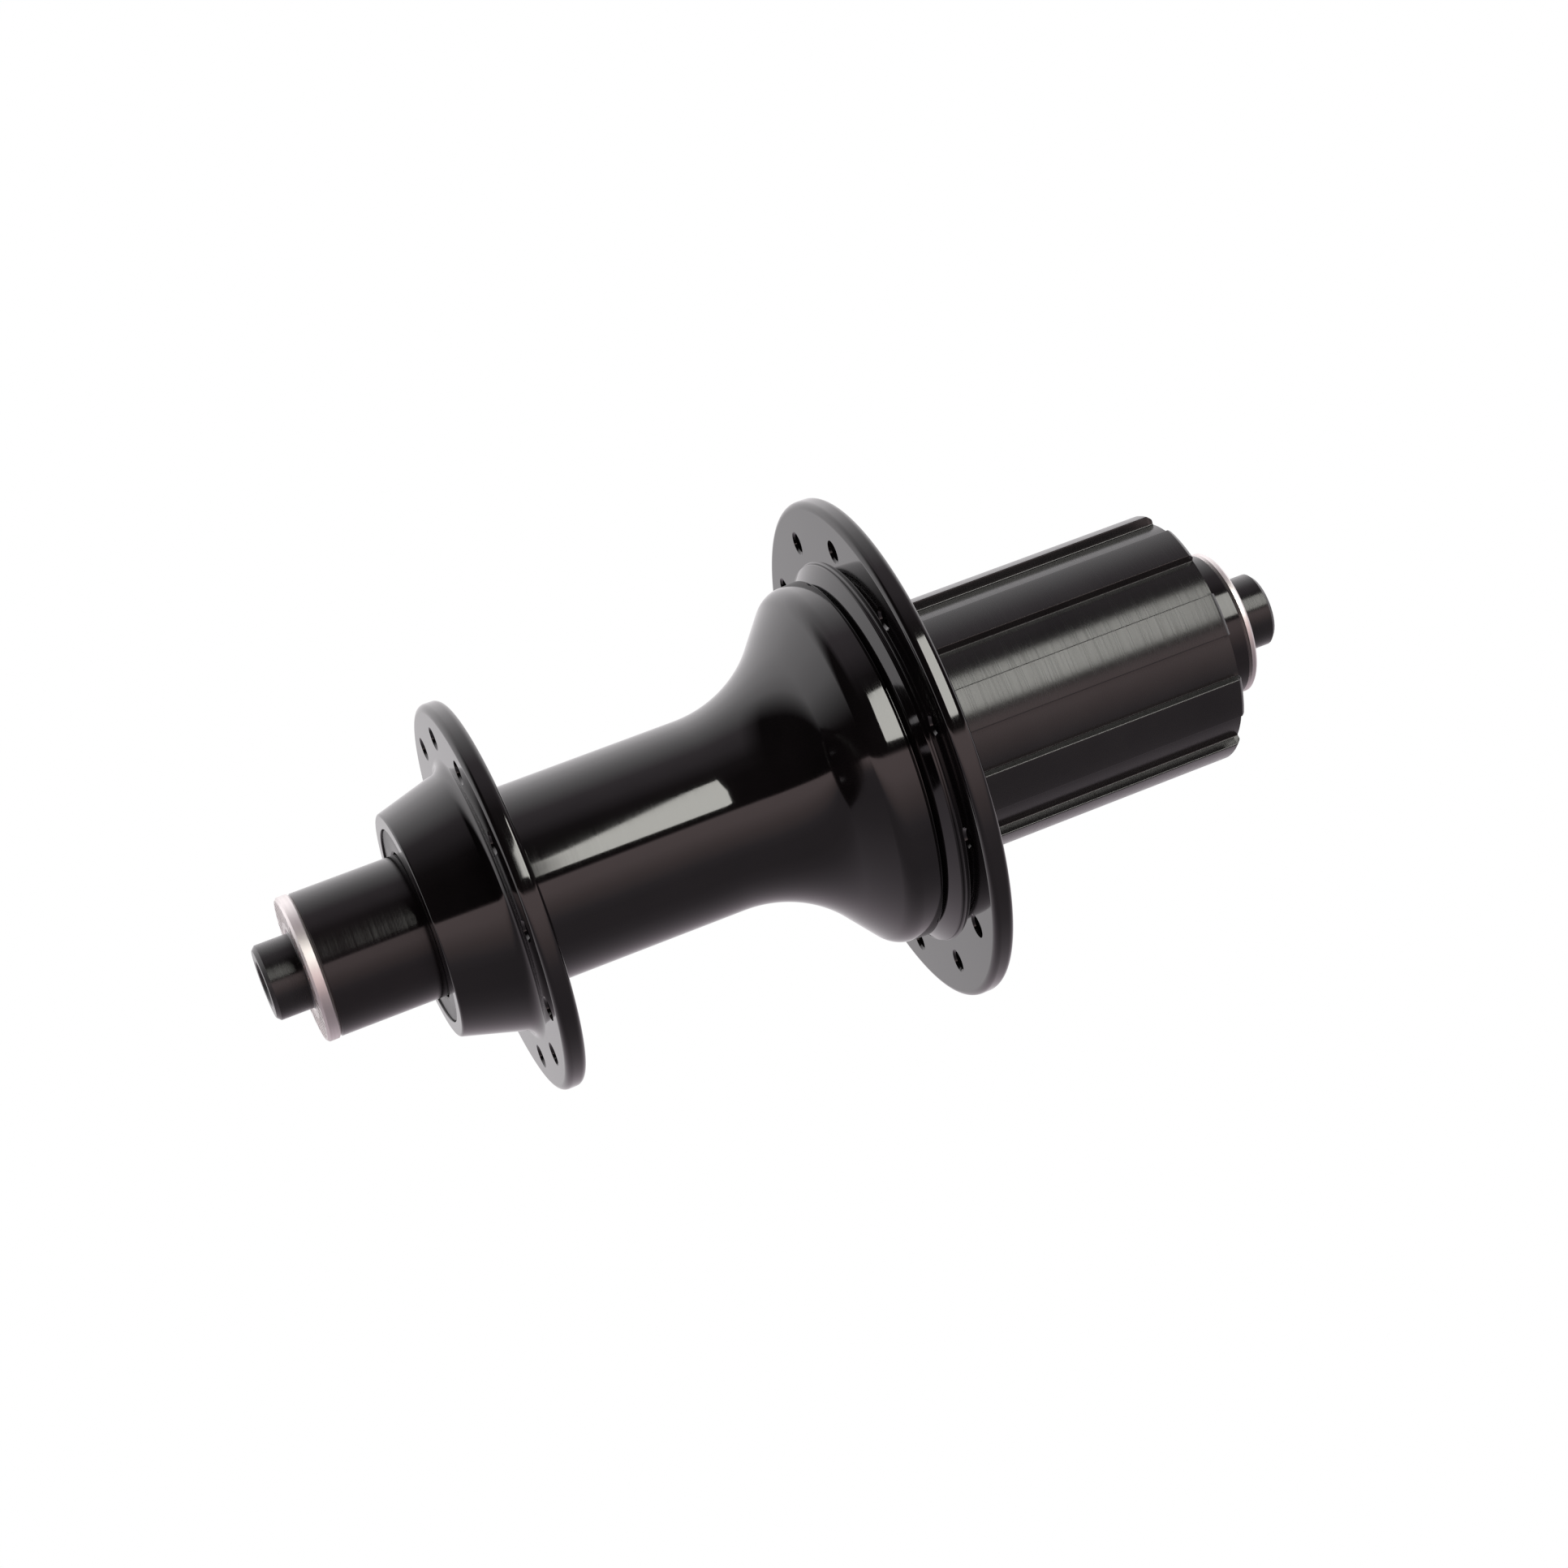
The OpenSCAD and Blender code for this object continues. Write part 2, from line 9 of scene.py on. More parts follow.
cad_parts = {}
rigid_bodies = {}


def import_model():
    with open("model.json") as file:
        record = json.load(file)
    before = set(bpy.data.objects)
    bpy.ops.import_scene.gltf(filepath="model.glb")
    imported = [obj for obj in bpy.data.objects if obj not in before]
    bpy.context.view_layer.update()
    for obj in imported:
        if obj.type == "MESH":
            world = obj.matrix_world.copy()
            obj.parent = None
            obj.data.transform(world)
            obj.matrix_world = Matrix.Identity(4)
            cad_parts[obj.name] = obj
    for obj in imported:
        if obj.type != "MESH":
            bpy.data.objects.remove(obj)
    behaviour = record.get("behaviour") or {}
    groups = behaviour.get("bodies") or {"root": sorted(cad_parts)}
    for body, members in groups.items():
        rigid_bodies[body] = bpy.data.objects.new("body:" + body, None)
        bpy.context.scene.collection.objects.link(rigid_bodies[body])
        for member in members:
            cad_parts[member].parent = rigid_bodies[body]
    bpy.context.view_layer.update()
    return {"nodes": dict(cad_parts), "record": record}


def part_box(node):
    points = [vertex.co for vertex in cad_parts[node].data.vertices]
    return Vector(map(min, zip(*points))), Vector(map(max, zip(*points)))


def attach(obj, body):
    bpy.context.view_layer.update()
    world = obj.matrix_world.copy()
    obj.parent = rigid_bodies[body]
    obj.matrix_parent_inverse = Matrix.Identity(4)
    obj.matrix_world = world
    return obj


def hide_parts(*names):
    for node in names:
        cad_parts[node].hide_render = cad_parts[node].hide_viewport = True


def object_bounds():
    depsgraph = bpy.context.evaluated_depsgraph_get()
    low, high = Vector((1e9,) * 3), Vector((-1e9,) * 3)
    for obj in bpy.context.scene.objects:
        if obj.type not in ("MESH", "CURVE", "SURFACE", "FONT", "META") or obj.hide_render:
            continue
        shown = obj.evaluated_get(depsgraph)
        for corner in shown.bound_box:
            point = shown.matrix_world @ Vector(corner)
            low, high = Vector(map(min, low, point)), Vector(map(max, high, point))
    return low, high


for old in list(bpy.data.objects):
    bpy.data.objects.remove(old)

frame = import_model()
MM = 0.001
scene = bpy.context.scene

# ---------------------------------------------------------------- camera
AZIMUTH, ELEVATION = math.radians(-114.48), math.radians(56.2)
DISTANCE, ASIDE, ABOVE = 0.428, 0.00169, 0.001085
ALONG = 0.0009
LENS, SENSOR = 76.4, 36.0

back = Vector((math.sin(AZIMUTH) * math.cos(ELEVATION),
               -math.cos(AZIMUTH) * math.cos(ELEVATION), math.sin(ELEVATION)))
right = Vector((math.cos(AZIMUTH), math.sin(AZIMUTH), 0))
up = back.cross(right)
camera = bpy.data.objects.new("camera", bpy.data.cameras.new("camera"))
scene.collection.objects.link(camera)
camera.matrix_world = Matrix((
    (right.x, up.x, back.x, 0), (right.y, up.y, back.y, 0),
    (right.z, up.z, back.z, 0), (0, 0, 0, 1)))
camera.location = back * DISTANCE + right * ASIDE + up * ABOVE + Vector((0, ALONG, 0))
camera.data.lens, camera.data.sensor_width = LENS, SENSOR
camera.data.clip_start, camera.data.clip_end = 0.01, 20
scene.camera = camera
scene.view_settings.view_transform = "Standard"


# ---------------------------------------------------------------- node helpers
def shader_tree(material):
    material.use_nodes = True
    tree = material.node_tree
    tree.nodes.clear()
    return tree, tree.nodes.new("ShaderNodeOutputMaterial")


def ramp(tree, source, stops):
    """A colour ramp from source through (place, grey or colour) stops."""
    node = tree.nodes.new("ShaderNodeValToRGB")
    elements = node.color_ramp.elements
    elements.remove(elements[1])
    elements[0].position = stops[0][0]
    for i, (place, value) in enumerate(stops):
        shade = (value, value, value) if isinstance(value, (int, float)) else value
        element = elements[0] if i == 0 else elements.new(place)
        element.color = (*shade, 1)
    tree.links.new(source, node.inputs["Fac"])
    return node.outputs["Color"]


def noise(tree, coords, scale, detail=3.0, stretch=(1, 1, 1)):
    mapping = tree.nodes.new("ShaderNodeMapping")
    mapping.inputs["Scale"].default_value = [s * scale for s in stretch]
    tree.links.new(coords, mapping.inputs["Vector"])
    node = tree.nodes.new("ShaderNodeTexNoise")
    node.inputs["Scale"].default_value = 1.0
    node.inputs["Detail"].default_value = detail
    tree.links.new(mapping.outputs["Vector"], node.inputs["Vector"])
    return node.outputs["Fac"]


def mix_colours(tree, factor, a, b):
    node = tree.nodes.new("ShaderNodeMix")
    node.data_type = "RGBA"
    tree.links.new(factor, node.inputs["Factor"])
    sockets = [s for s in node.inputs if s.type == "RGBA"]
    for socket, value in zip(sockets, (a, b)):
        if isinstance(value, tuple):
            socket.default_value = (*value, 1)
        else:
            tree.links.new(value, socket)
    return next(s for s in node.outputs if s.type == "RGBA")


CLOUDS, GRAIN = 140, 3800      # noise cells per metre
LINES = (90, 5200, 90)         # the same for turning marks, long round the axle


def finish_of(name, dark, light, metallic, rough, marks=0.0, grain=0.0, ior=1.5,
              edge_highlight=None, edge_highlight_amount=0.0, drawn=0.0):
    """A machined or moulded finish.

    dark and light are the ends of its colour variation, rough the range of its
    roughness, marks the depth of turning marks round the axle in micrometres,
    grain the depth of a fine blasted grain, edge_highlight the colour of a
    highlight painted on sharp edges, drawn how far the turning marks draw reflections out along the
    axle.
    """
    material = bpy.data.materials.new(name)
    tree, output = shader_tree(material)
    shader = tree.nodes.new("ShaderNodeBsdfPrincipled")
    coords = tree.nodes.new("ShaderNodeTexCoord").outputs["Object"]
    clouds = noise(tree, coords, CLOUDS, 4)
    lines = noise(tree, coords, 1, 2, LINES)
    colour = mix_colours(tree, ramp(tree, clouds, [(0.3, 0.0), (0.7, 1.0)]), dark, light)
    # Sharp edges are painted lighter: a painted highlight standing in for light caught on chamfers.
    if edge_highlight:
        edges = tree.nodes.new("ShaderNodeNewGeometry").outputs["Pointiness"]
        painted_highlight_mask = ramp(tree, edges, [(0.53, 0.0), (0.62, edge_highlight_amount)])
        colour = mix_colours(tree, painted_highlight_mask, colour, edge_highlight)
    tree.links.new(colour, shader.inputs["Base Color"])
    texture = lines if marks else clouds
    tree.links.new(ramp(tree, texture, [(0.3, rough[0]), (0.7, rough[1])]),
                   shader.inputs["Roughness"])
    normal = None
    for depth, height in ((marks, lines), (grain, noise(tree, coords, GRAIN, 2))):
        if depth:
            bump = tree.nodes.new("ShaderNodeBump")
            bump.inputs["Strength"].default_value = 1.0
            bump.inputs["Distance"].default_value = depth * 1e-6
            tree.links.new(height, bump.inputs["Height"])
            if normal:
                tree.links.new(normal, bump.inputs["Normal"])
            normal = bump.outputs["Normal"]
    if normal:
        tree.links.new(normal, shader.inputs["Normal"])
    shader.inputs["Metallic"].default_value = metallic
    shader.inputs["IOR"].default_value = ior
    if drawn:
        tangent = tree.nodes.new("ShaderNodeTangent")
        tangent.direction_type, tangent.axis = "RADIAL", "Y"
        tree.links.new(tangent.outputs["Tangent"], shader.inputs["Tangent"])
        shader.inputs["Anisotropic"].default_value = drawn
        shader.inputs["Anisotropic Rotation"].default_value = 0.25
    tree.links.new(shader.outputs["BSDF"], output.inputs["Surface"])
    return material


FINISHES = {
    "gloss_black_anodised": finish_of(
        "gloss_black_anodised", (0.0035, 0.003, 0.0032), (0.006, 0.005, 0.0055), 0.0,
        (0.055, 0.085), marks=0.05, ior=1.58),
    "black_anodised": finish_of(
        "black_anodised", (0.006, 0.005, 0.0055), (0.011, 0.009, 0.010), 0.0,
        (0.10, 0.15), marks=0.10, ior=1.5, drawn=0.5),
    "satin_black": finish_of(
        "satin_black", (0.006, 0.0055, 0.006), (0.011, 0.0105, 0.011), 0.0,
        (0.23, 0.29), marks=0.13, grain=0.15, ior=1.55, drawn=0.7),
    # Silver aluminium and hardened steel get a painted highlight on their sharp edges.
    "silver_aluminium": finish_of(
        "silver_aluminium", (0.62, 0.58, 0.57), (0.76, 0.71, 0.70), 1.0,
        (0.34, 0.46), marks=1.0, grain=0.5, edge_highlight=(0.9, 0.87, 0.86), edge_highlight_amount=0.5),
    "hardened_steel": finish_of(
        "hardened_steel", (0.25, 0.25, 0.26), (0.36, 0.36, 0.37), 1.0,
        (0.22, 0.34), marks=0.8, grain=0.3, edge_highlight=(0.6, 0.6, 0.6), edge_highlight_amount=0.5),
    "spring_steel": finish_of(
        "spring_steel", (0.10, 0.11, 0.16), (0.20, 0.19, 0.22), 1.0, (0.25, 0.35), grain=0.3),
    "bearing_steel": finish_of(
        "bearing_steel", (0.55, 0.55, 0.56), (0.64, 0.64, 0.65), 1.0, (0.06, 0.14), marks=0.3),
    "cage_brass": finish_of(
        "cage_brass", (0.50, 0.34, 0.12), (0.66, 0.47, 0.19), 1.0, (0.25, 0.38), grain=0.6),
    "rubber": finish_of(
        "rubber", (0.014, 0.013, 0.013), (0.024, 0.023, 0.023), 0.0, (0.26, 0.36), grain=0.6),
    "seal_rubber": finish_of(
        "seal_rubber", (0.015, 0.03, 0.10), (0.025, 0.05, 0.15), 0.0, (0.5, 0.65), grain=3.0),
}
slot_of = {row["node"]: row["material_slot"] for row in frame["record"]["subparts"]}
for name, node in frame["nodes"].items():
    node.data.materials.clear()
    node.data.materials.append(FINISHES[slot_of[name]])


# ---------------------------------------------------------------- mesh helpers
def rounded(corners, step=11.0):
    """Points of a closed outline whose corners (s, r, radius) are rounded."""
    points = []
    count = len(corners)
    for i, (s, r, radius) in enumerate(corners):
        here = Vector((s, r))
        before, after = Vector(corners[i - 1][:2]), Vector(corners[(i + 1) % count][:2])
        a, b = (before - here).normalized(), (after - here).normalized()
        turn = math.pi - a.angle(b)
        if radius <= 0 or turn < math.radians(2):
            points.append((s, r))
            continue
        reach = radius * math.tan(turn / 2)
        centre = here + (a + b).normalized() * (radius / math.cos(turn / 2))
        start, end = here + a * reach - centre, here + b * reach - centre
        pieces = max(2, math.ceil(math.degrees(turn) / step))
        for k in range(pieces + 1):
            t = k / pieces
            swept = (start * math.sin((1 - t) * turn) + end * math.sin(t * turn)) / math.sin(turn)
            points.append(tuple(centre + swept))
    return points


def on_axle(s, r, angle):
    """A point in metres from millimetres along the axle, radius and angle."""
    return Vector((r * math.cos(angle), -s, r * math.sin(angle))) * MM


def made(name, mesh, body=None, slot=None):
    piece = bpy.data.objects.new(name, mesh)
    scene.collection.objects.link(piece)
    if body:
        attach(piece, body)
        mesh.materials.clear()
        mesh.materials.append(FINISHES[slot])
    return piece


def skin(name, rings, closed=True):
    """A mesh over rings of points; each ring is joined to the next, the last to the first."""
    mesh = bpy.data.meshes.new(name)
    shape = bmesh.new()
    rows = [[shape.verts.new(p) for p in ring] for ring in rings]
    around = len(rows[0])
    for i in range(len(rows) if closed else len(rows) - 1):
        lower, upper = rows[i], rows[(i + 1) % len(rows)]
        for k in range(around):
            n = (k + 1) % around
            shape.faces.new((lower[k], lower[n], upper[n], upper[k]))
    if not closed:
        shape.faces.new(rows[0][::-1])
        shape.faces.new(rows[-1])
    bmesh.ops.remove_doubles(shape, verts=shape.verts, dist=1e-7)
    bmesh.ops.recalc_face_normals(shape, faces=shape.faces)
    shape.to_mesh(mesh)
    shape.free()
    return mesh


def turned(name, outline, around=256):
    return skin(name, [[on_axle(s, r, 2 * math.pi * k / around) for k in range(around)]
                       for s, r in outline])


def cut(piece, cutters):
    """Takes the cutters away from piece for good."""
    for cutter in cutters:
        modifier = piece.modifiers.new("cut", "BOOLEAN")
        modifier.operation, modifier.solver, modifier.object = "DIFFERENCE", "EXACT", cutter
    bpy.context.view_layer.update()
    result = bpy.data.meshes.new_from_object(
        piece.evaluated_get(bpy.context.evaluated_depsgraph_get()))
    piece.modifiers.clear()
    piece.data = result
    for cutter in cutters:
        bpy.data.objects.remove(cutter)


def smoothed(piece, sharp=33):
    piece.data.polygons.foreach_set("use_smooth", [True] * len(piece.data.polygons))
    piece.data.set_sharp_from_angle(angle=math.radians(sharp))
    modifier = piece.modifiers.new("weighted_normals", "WEIGHTED_NORMAL")
    modifier.keep_sharp = True
    modifier.weight = 60


# ---------------------------------------------------------------- hub shell
shell_low, shell_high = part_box("hub_shell")
HOUSING_FACE, SHELL_END = -shell_high.y / MM, -shell_low.y / MM
RIGHT_FLANGE_R = shell_high.x / MM
LEFT_FACE, RIGHT_FACE, FLANGE_T, LEFT_FLANGE_R = -40.0, 14.3, 2.8, 25.9
BARREL_R, BELL_START, HOLLOW_R, SHOULDER_R, BELL_R = 12.93, -9.7, 17.3, 3.4, 24.4
SLOPE, LAND_SLOPE, LAND_END = math.radians(50), math.radians(2.4), 11.5
BACK_ROUND, GROOVE_R, GROOVE_W, COLLAR_R, COLLAR_START_R = 0.4, 23.4, 0.4, 25.9, 23.8
RIM_ROUND, HOUSING_R, CONE_R, HOUSING_FILLET, BARREL_FILLET = 0.9, 14.85, 17.53, 1.9, 1.5
COLLAR_CONE_W, COLLAR_EDGE, COLLAR_FOOT = 1.45, 0.3, 0.25
EDGE = 0.12            # rounding of the groove's edges
DRAFT = 0.03           # how much smaller the left rim is at its right edge
# Inside: dust seal's seat, left bearing, axle's tunnel, right bearing, ratchet ring
DUST_SEAL_R, DUST_SEAL_END = 12.9, -47.8
LEFT_BEARING_R, LEFT_BEARING_END = 12, -41.4
CORE_R = 10.4
RIGHT_BEARING_R, RIGHT_BEARING_START = 14, 0.6
RATCHET_R, RATCHET_START = 19.5, 8.1
BELL_STEPS, SHOULDER_STEPS = 24, 18


def bell_points():
    """The barrel's end, the hollow flare, the cone, the shoulder, the land and its back edge."""
    points = [(BELL_START + HOLLOW_R * math.sin(SLOPE * i / BELL_STEPS),
               BARREL_R + HOLLOW_R * (1 - math.cos(SLOPE * i / BELL_STEPS)))
              for i in range(BELL_STEPS + 1)]
    foot_s, foot_r = points[-1]
    fall, climb = math.tan(LAND_SLOPE), math.tan(SLOPE)
    reach = SHOULDER_R * (math.sin(SLOPE) - math.sin(LAND_SLOPE))
    bulge = SHOULDER_R * (math.cos(LAND_SLOPE) - math.cos(SLOPE))
    height = BELL_R - foot_r - bulge - (LAND_END - foot_s - reach) * fall
    run = height / (climb - fall)
    centre_s = foot_s + run + SHOULDER_R * math.sin(SLOPE)
    centre_r = foot_r + run * climb - SHOULDER_R * math.cos(SLOPE)
    for i in range(SHOULDER_STEPS + 1):
        a = SLOPE + (LAND_SLOPE - SLOPE) * i / SHOULDER_STEPS
        points.append((centre_s - SHOULDER_R * math.sin(a), centre_r + SHOULDER_R * math.cos(a)))
    points += [(LAND_END + BACK_ROUND * math.sin(math.radians(a)),
                BELL_R - BACK_ROUND + BACK_ROUND * math.cos(math.radians(a)))
               for a in range(0, 91, 15)]
    return points, LAND_END + BACK_ROUND


bell, groove_start = bell_points()
groove_end = groove_start + GROOVE_W
outline = rounded(
    [(HOUSING_FACE, DUST_SEAL_R, 0.1), (HOUSING_FACE, HOUSING_R, 0.4),
     (LEFT_FACE, CONE_R, HOUSING_FILLET), (LEFT_FACE, LEFT_FLANGE_R, RIM_ROUND),
     (LEFT_FACE + FLANGE_T, LEFT_FLANGE_R - DRAFT, RIM_ROUND),
     (LEFT_FACE + FLANGE_T, BARREL_R, BARREL_FILLET)]
    + [(s, r, 0) for s, r in bell]
    + [(groove_start, GROOVE_R, EDGE), (groove_end, GROOVE_R, EDGE),
       (groove_end, COLLAR_START_R, EDGE), (groove_end + COLLAR_CONE_W, COLLAR_R, COLLAR_EDGE),
       (RIGHT_FACE, COLLAR_R, COLLAR_FOOT),
       (RIGHT_FACE, RIGHT_FLANGE_R, RIM_ROUND), (SHELL_END, RIGHT_FLANGE_R, RIM_ROUND),
       (SHELL_END, RATCHET_R, 0.3), (RATCHET_START, RATCHET_R, 0),
       (RATCHET_START, RIGHT_BEARING_R, 0), (RIGHT_BEARING_START, RIGHT_BEARING_R, 0),
       (RIGHT_BEARING_START, CORE_R, 0), (LEFT_BEARING_END, CORE_R, 0),
       (LEFT_BEARING_END, LEFT_BEARING_R, 0), (DUST_SEAL_END, LEFT_BEARING_R, 0),
       (DUST_SEAL_END, DUST_SEAL_R, 0)])
shell = made("shell_skin", turned("shell_skin", outline), "shell", "gloss_black_anodised")

HOLES, HOLE_R, SINK_R = 12, 1.3, 1.6
LEFT_PCD, RIGHT_PCD, STAGGER = 43.4, 58, 15
PAST = 0.5             # how far a cutter reaches past each face
sink = SINK_R - HOLE_R


def spoke_cutter(face, pcd, phase):
    """All the countersunk holes of one flange as one cutting body."""
    whole = bmesh.new()
    profile = [(-PAST, SINK_R + PAST), (sink, HOLE_R), (FLANGE_T - sink, HOLE_R),
               (FLANGE_T + PAST, SINK_R + PAST)]
    for i in range(HOLES):
        angle = math.radians(phase + 360 / HOLES * i)
        middle = on_axle(face, pcd / 2, angle)
        rings = [[middle + on_axle(s, r, 2 * math.pi * k / 32) for k in range(32)]
                 for s, r in profile]
        whole.from_mesh(skin("hole", rings, closed=False))
    mesh = bpy.data.meshes.new("spoke_cutter")
    whole.to_mesh(mesh)
    whole.free()
    return made("spoke_cutter", mesh)


cut(shell, [spoke_cutter(LEFT_FACE, LEFT_PCD, STAGGER), spoke_cutter(RIGHT_FACE, RIGHT_PCD, 0)])
smoothed(shell)
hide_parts("hub_shell")

# ---------------------------------------------------------------- freehub body
free_low, free_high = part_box("freehub_body")
CARRIER_START, FREE_END = -free_high.y / MM, -free_low.y / MM
STOP_R = free_high.x / MM
SPLINE_R, ROOT_R, STOP_START, STOP_END = 17.1, 15.8, 17.5, 19.6
SPLINES, RIB, PHASE, NARROW, KEYED = 9, 19.5, 118, 6, 4
CORNER = 0.16          # rounding of the ribs' edges and feet
# Inside: lockring bore, bearing bore, circlip's groove, pawl carrier
RECESS, RECESS_R, BORE_START, BORE_R = 52.3, 14.9, 17.8, 12
CIRCLIP_START, CIRCLIP_END, CIRCLIP_R = 50.2, 51.3, 12.9
THREAD_TURNS, THREAD_START, THREAD_R, THREAD_HALF_W = 5, 1.2, 15.35, 0.33
CARRIER_R, CARRIER_BORE_R, CARRIER_EDGE = 15.6, 10.4, 0.3
UNCUT = 99             # a limit larger than any radius


def spline_outline():
    """Points (radius, angle) round the splined body with every corner rounded."""
    corners = []
    pitch = 360 / SPLINES
    for i in range(SPLINES):
        middle = PHASE + (i + 0.5) * pitch
        half = (pitch - RIB - (NARROW if i == KEYED else 0)) / 2
        corners += [(middle - half, 1), (middle + half, -1)]
    points = []
    for k, (angle, way) in enumerate(corners):
        following = corners[(k + 1) % len(corners)][0] + (360 if k + 1 == len(corners) else 0)
        upper, lower = SPLINE_R - CORNER, ROOT_R + CORNER
        slip = math.degrees(CORNER / SPLINE_R)
        arc = [math.radians(a) for a in (0, 30, 60, 90)]
        edge = [(upper + CORNER * math.cos(a), angle - way * slip * (1 - math.sin(a))) for a in arc]
        foot = [(lower - CORNER * math.sin(a), angle + way * slip * (1 - math.cos(a))) for a in arc]
        wall = edge + foot if way > 0 else foot[::-1] + edge[::-1]
        points += wall
        radius = ROOT_R if way > 0 else SPLINE_R
        steps = max(3, round((following - angle) / 2))
        points += [(radius, angle + slip + (following - angle - 2 * slip) * j / steps)
                   for j in range(1, steps)]
    return points


ring_points = spline_outline()
END_CHAMFER = 0.7


def splined_ring(s, limit):
    return [on_axle(s, min(r, limit), math.radians(a)) for r, a in ring_points]


def plain_ring(s, r):
    return [on_axle(s, r, math.radians(a)) for _, a in ring_points]


rings = [plain_ring(STOP_END, STOP_R - 0.3), splined_ring(STOP_END, UNCUT)]
rings += [splined_ring(STOP_END + (FREE_END - END_CHAMFER - STOP_END) * i / 24, UNCUT)
          for i in range(1, 25)]
rings += [splined_ring(FREE_END - END_CHAMFER + d, SPLINE_R - drop)
          for d, drop in ((0.12, 0.04), (0.35, 0.26), (0.58, 0.50), (0.68, 0.64), (0.70, 0.78))]
inner = [(FREE_END, 15.3), (FREE_END - 0.4, RECESS_R)]
for groove in reversed(range(THREAD_TURNS)):
    at = RECESS + THREAD_START + groove
    inner += [(at + THREAD_HALF_W, RECESS_R), (at, THREAD_R), (at - THREAD_HALF_W, RECESS_R)]
inner += [(RECESS, RECESS_R), (RECESS, BORE_R),
          (CIRCLIP_END, BORE_R), (CIRCLIP_END, CIRCLIP_R),
          (CIRCLIP_START, CIRCLIP_R), (CIRCLIP_START, BORE_R),
          (BORE_START, BORE_R), (BORE_START, CARRIER_BORE_R),
          (CARRIER_START, CARRIER_BORE_R), (CARRIER_START, CARRIER_R - CARRIER_EDGE),
          (CARRIER_START + CARRIER_EDGE, CARRIER_R), (STOP_START, CARRIER_R),
          (STOP_START, STOP_R - 0.3), (STOP_START + 0.3, STOP_R), (STOP_END - 0.3, STOP_R)]
rings += [plain_ring(s, r) for s, r in inner]
freehub = made("freehub_skin", skin("freehub_skin", rings), "freehub", "satin_black")


PAWLS, POCKET_START, POCKET_END = 3, 9.4, 14.8
HEEL, SOCKET_R, SOCKET_STEPS = Vector((12.3, 7.0)), 1.4, 14
SOCKET_FROM, SOCKET_TO = math.radians(208), math.radians(38)
TOE_SIDE, HEEL_SIDE = ((20, -0.25), (13.05, -0.25), (10.85, 6.3)), ((15.4, 9.4), (18, 12))


def pocket_cutters():
    """One prism for each pawl's pocket, with a round socket for its heel."""
    flat = [Vector(p) for p in TOE_SIDE]
    for i in range(SOCKET_STEPS + 1):
        a = SOCKET_FROM + (SOCKET_TO - SOCKET_FROM) * i / SOCKET_STEPS
        flat.append(HEEL + SOCKET_R * Vector((math.cos(a), math.sin(a))))
    flat += [Vector(p) for p in HEEL_SIDE]
    cutters = []
    for i in range(PAWLS):
        turn = math.radians(360 / PAWLS * i)
        prism = [[on_axle(s, p.length, math.atan2(p.y, p.x) + turn) for p in flat]
                 for s in (POCKET_START, POCKET_END)]
        cutters.append(made("pocket_cutter", skin("pocket_cutter", prism, closed=False)))
    return cutters


cut(freehub, pocket_cutters())
smoothed(freehub, 30)
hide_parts("freehub_body")

# ---------------------------------------------------------------- floor and backdrop
def glowing(name, strength, colour=(1, 1, 1)):
    material = bpy.data.materials.new(name)
    tree, output = shader_tree(material)
    glow = tree.nodes.new("ShaderNodeEmission")
    glow.inputs["Color"].default_value = (*colour, 1)
    glow.inputs["Strength"].default_value = strength
    tree.links.new(glow.outputs["Emission"], output.inputs["Surface"])
    return material


ROOM_R = 3.2           # metres, of the floor and of the backdrop round it
FLOOR_GAP = 0.0005
floor_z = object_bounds()[0].z
bpy.ops.mesh.primitive_circle_add(vertices=96, radius=ROOM_R, fill_type="NGON",
                                  location=(0, 0, floor_z - FLOOR_GAP))
floor = bpy.context.object
floor.name = "floor"
floor.data.materials.append(glowing("pale_floor", 1.0))
floor.visible_glossy = floor.visible_diffuse = floor.visible_shadow = False
bpy.ops.mesh.primitive_uv_sphere_add(segments=64, ring_count=32, radius=ROOM_R)
backdrop = bpy.context.object
backdrop.name = "backdrop"
backdrop.data.materials.append(glowing("white_backdrop", 1.0))
backdrop.visible_glossy = backdrop.visible_diffuse = backdrop.visible_shadow = False

# ---------------------------------------------------------------- light
# The room is a white cyclorama: bright behind the hub and under it, dim on the
# camera's side, dark overhead but for one long strip light.
world = bpy.data.worlds.new("studio")
scene.world = world
world.use_nodes = True
tree = world.node_tree
tree.nodes.clear()
direction = tree.nodes.new("ShaderNodeTexCoord").outputs["Generated"]
parts = tree.nodes.new("ShaderNodeSeparateXYZ")
tree.links.new(direction, parts.inputs["Vector"])
angle = tree.nodes.new("ShaderNodeMath")
angle.operation = "ARCTAN2"
tree.links.new(parts.outputs["Z"], angle.inputs[0])
tree.links.new(parts.outputs["X"], angle.inputs[1])
turn = tree.nodes.new("ShaderNodeMapRange")
turn.inputs["From Min"].default_value = -math.pi
turn.inputs["From Max"].default_value = math.pi
tree.links.new(angle.outputs["Value"], turn.inputs["Value"])
PEAK = 1.6
WARM_FROM, WARM_TO = 125, 160
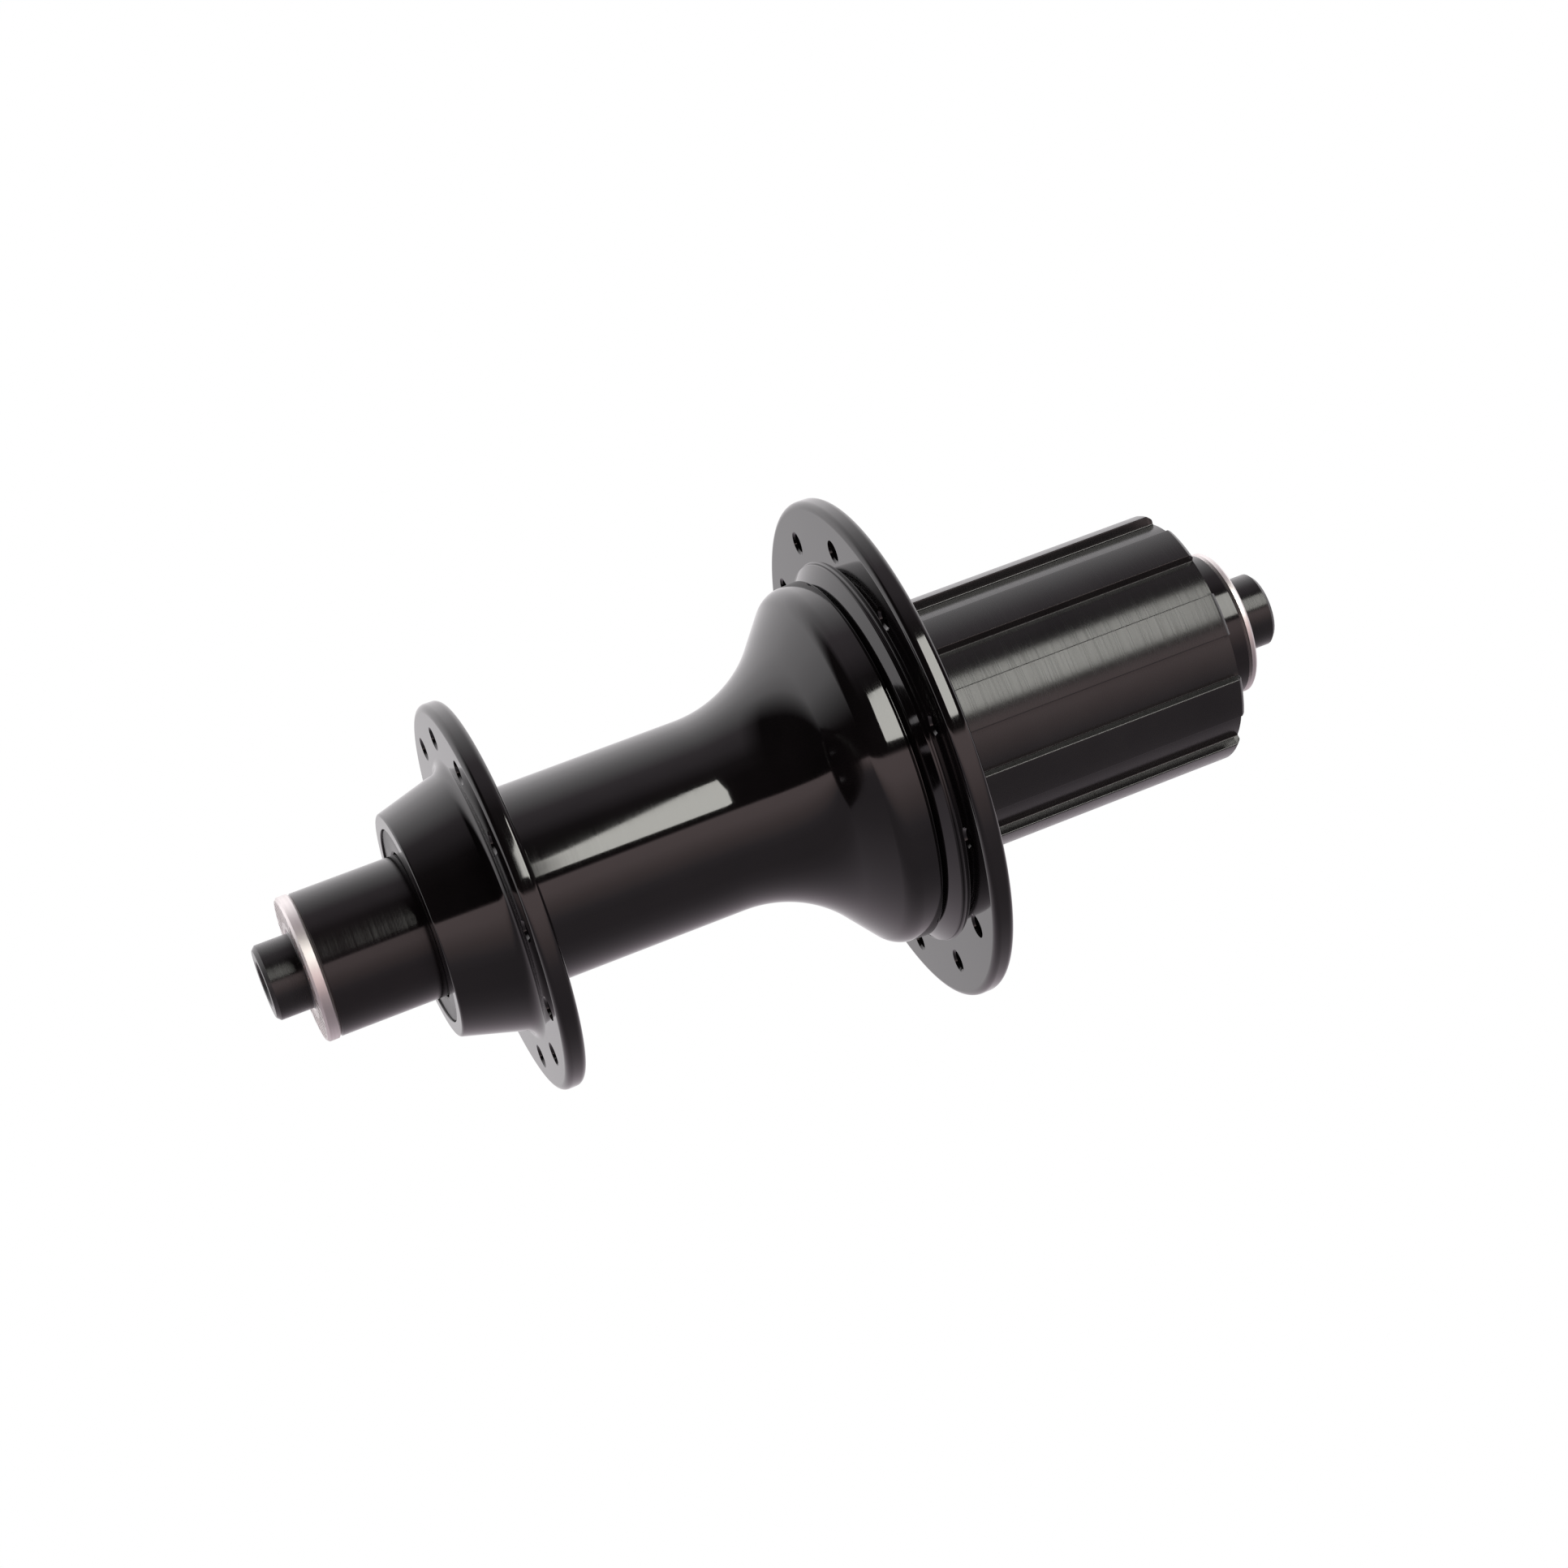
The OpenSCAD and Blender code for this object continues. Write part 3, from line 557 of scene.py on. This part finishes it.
# (degrees round the axle from +X towards +Z, radiance)
ROOM = [(-180, 0.26), (-157, 0.24), (-141, 0.28), (-125, 0.40), (-109, 0.54), (-93, 0.68),
        (-60, 0.9), (-37, 1.15), (-18, 1.5), (0, 1.5), (11, 1.3), (27, 0.9), (43, 0.42),
        (59, 0.32), (76, 0.07), (92, 0.01), (124.5, 0.01), (126.5, 1.15), (139, 1.05),
        (155, 0.65), (171, 0.32), (180, 0.26)]
glow = tree.nodes.new("ShaderNodeBackground")
glow.inputs["Strength"].default_value = PEAK


def tint(degrees, radiance):
    """Warm on the camera's side, faintly purple where the room is dim, white where it's bright."""
    if WARM_FROM < degrees < WARM_TO:
        return 1, 0.79, 0.79
    return (1, 0.97, 0.99) if radiance > 0.8 else (1, 0.88, 0.96)


room = ramp(tree, turn.outputs["Result"],
            [((d + 180) / 360, tuple(v / PEAK * c for c in tint(d, v))) for d, v in ROOM])
# Overhead the room turns black towards the left end of the hub
overhead = ramp(tree, turn.outputs["Result"],
                [((d + 180) / 360, v) for d, v in ((15, 0), (42, 1), (124.5, 1), (126.5, 0))])
past_left = tree.nodes.new("ShaderNodeMapRange")
past_left.inputs["From Min"].default_value = 0.25
past_left.inputs["From Max"].default_value = 0.5
tree.links.new(parts.outputs["Y"], past_left.inputs["Value"])
black = tree.nodes.new("ShaderNodeMath")
black.operation = "MULTIPLY"
tree.links.new(overhead, black.inputs[0])
tree.links.new(past_left.outputs["Result"], black.inputs[1])
tree.links.new(mix_colours(tree, black.outputs["Value"], room, (0.004, 0.004, 0.004)),
               glow.inputs["Color"])
sky = tree.nodes.new("ShaderNodeOutputWorld")
tree.links.new(glow.outputs["Background"], sky.inputs["Surface"])


STRIP_DISTANCE = 1.0


def strip_corner(degrees, y):
    a = math.radians(degrees)
    return (STRIP_DISTANCE * math.cos(a), y, STRIP_DISTANCE * math.sin(a))


# (degrees round the axle, metres along it) of the strip's outline
STRIP = [(103.0, -0.124), (117.0, -0.124), (118.0, -0.193), (118.7, -0.27), (117.5, -0.50),
         (80.0, -0.50), (82.7, -0.27), (87.5, -0.193)]
strip_mesh = bpy.data.meshes.new("strip_light")
strip_mesh.from_pydata([strip_corner(*corner) for corner in STRIP], [],
                       [(0, 1, 2, 7), (7, 2, 3, 6), (6, 3, 4, 5)])
strip_mesh.materials.append(glowing("strip_glow", 8.0, (1, 0.99, 0.93)))
strip = bpy.data.objects.new("strip_light", strip_mesh)
scene.collection.objects.link(strip)
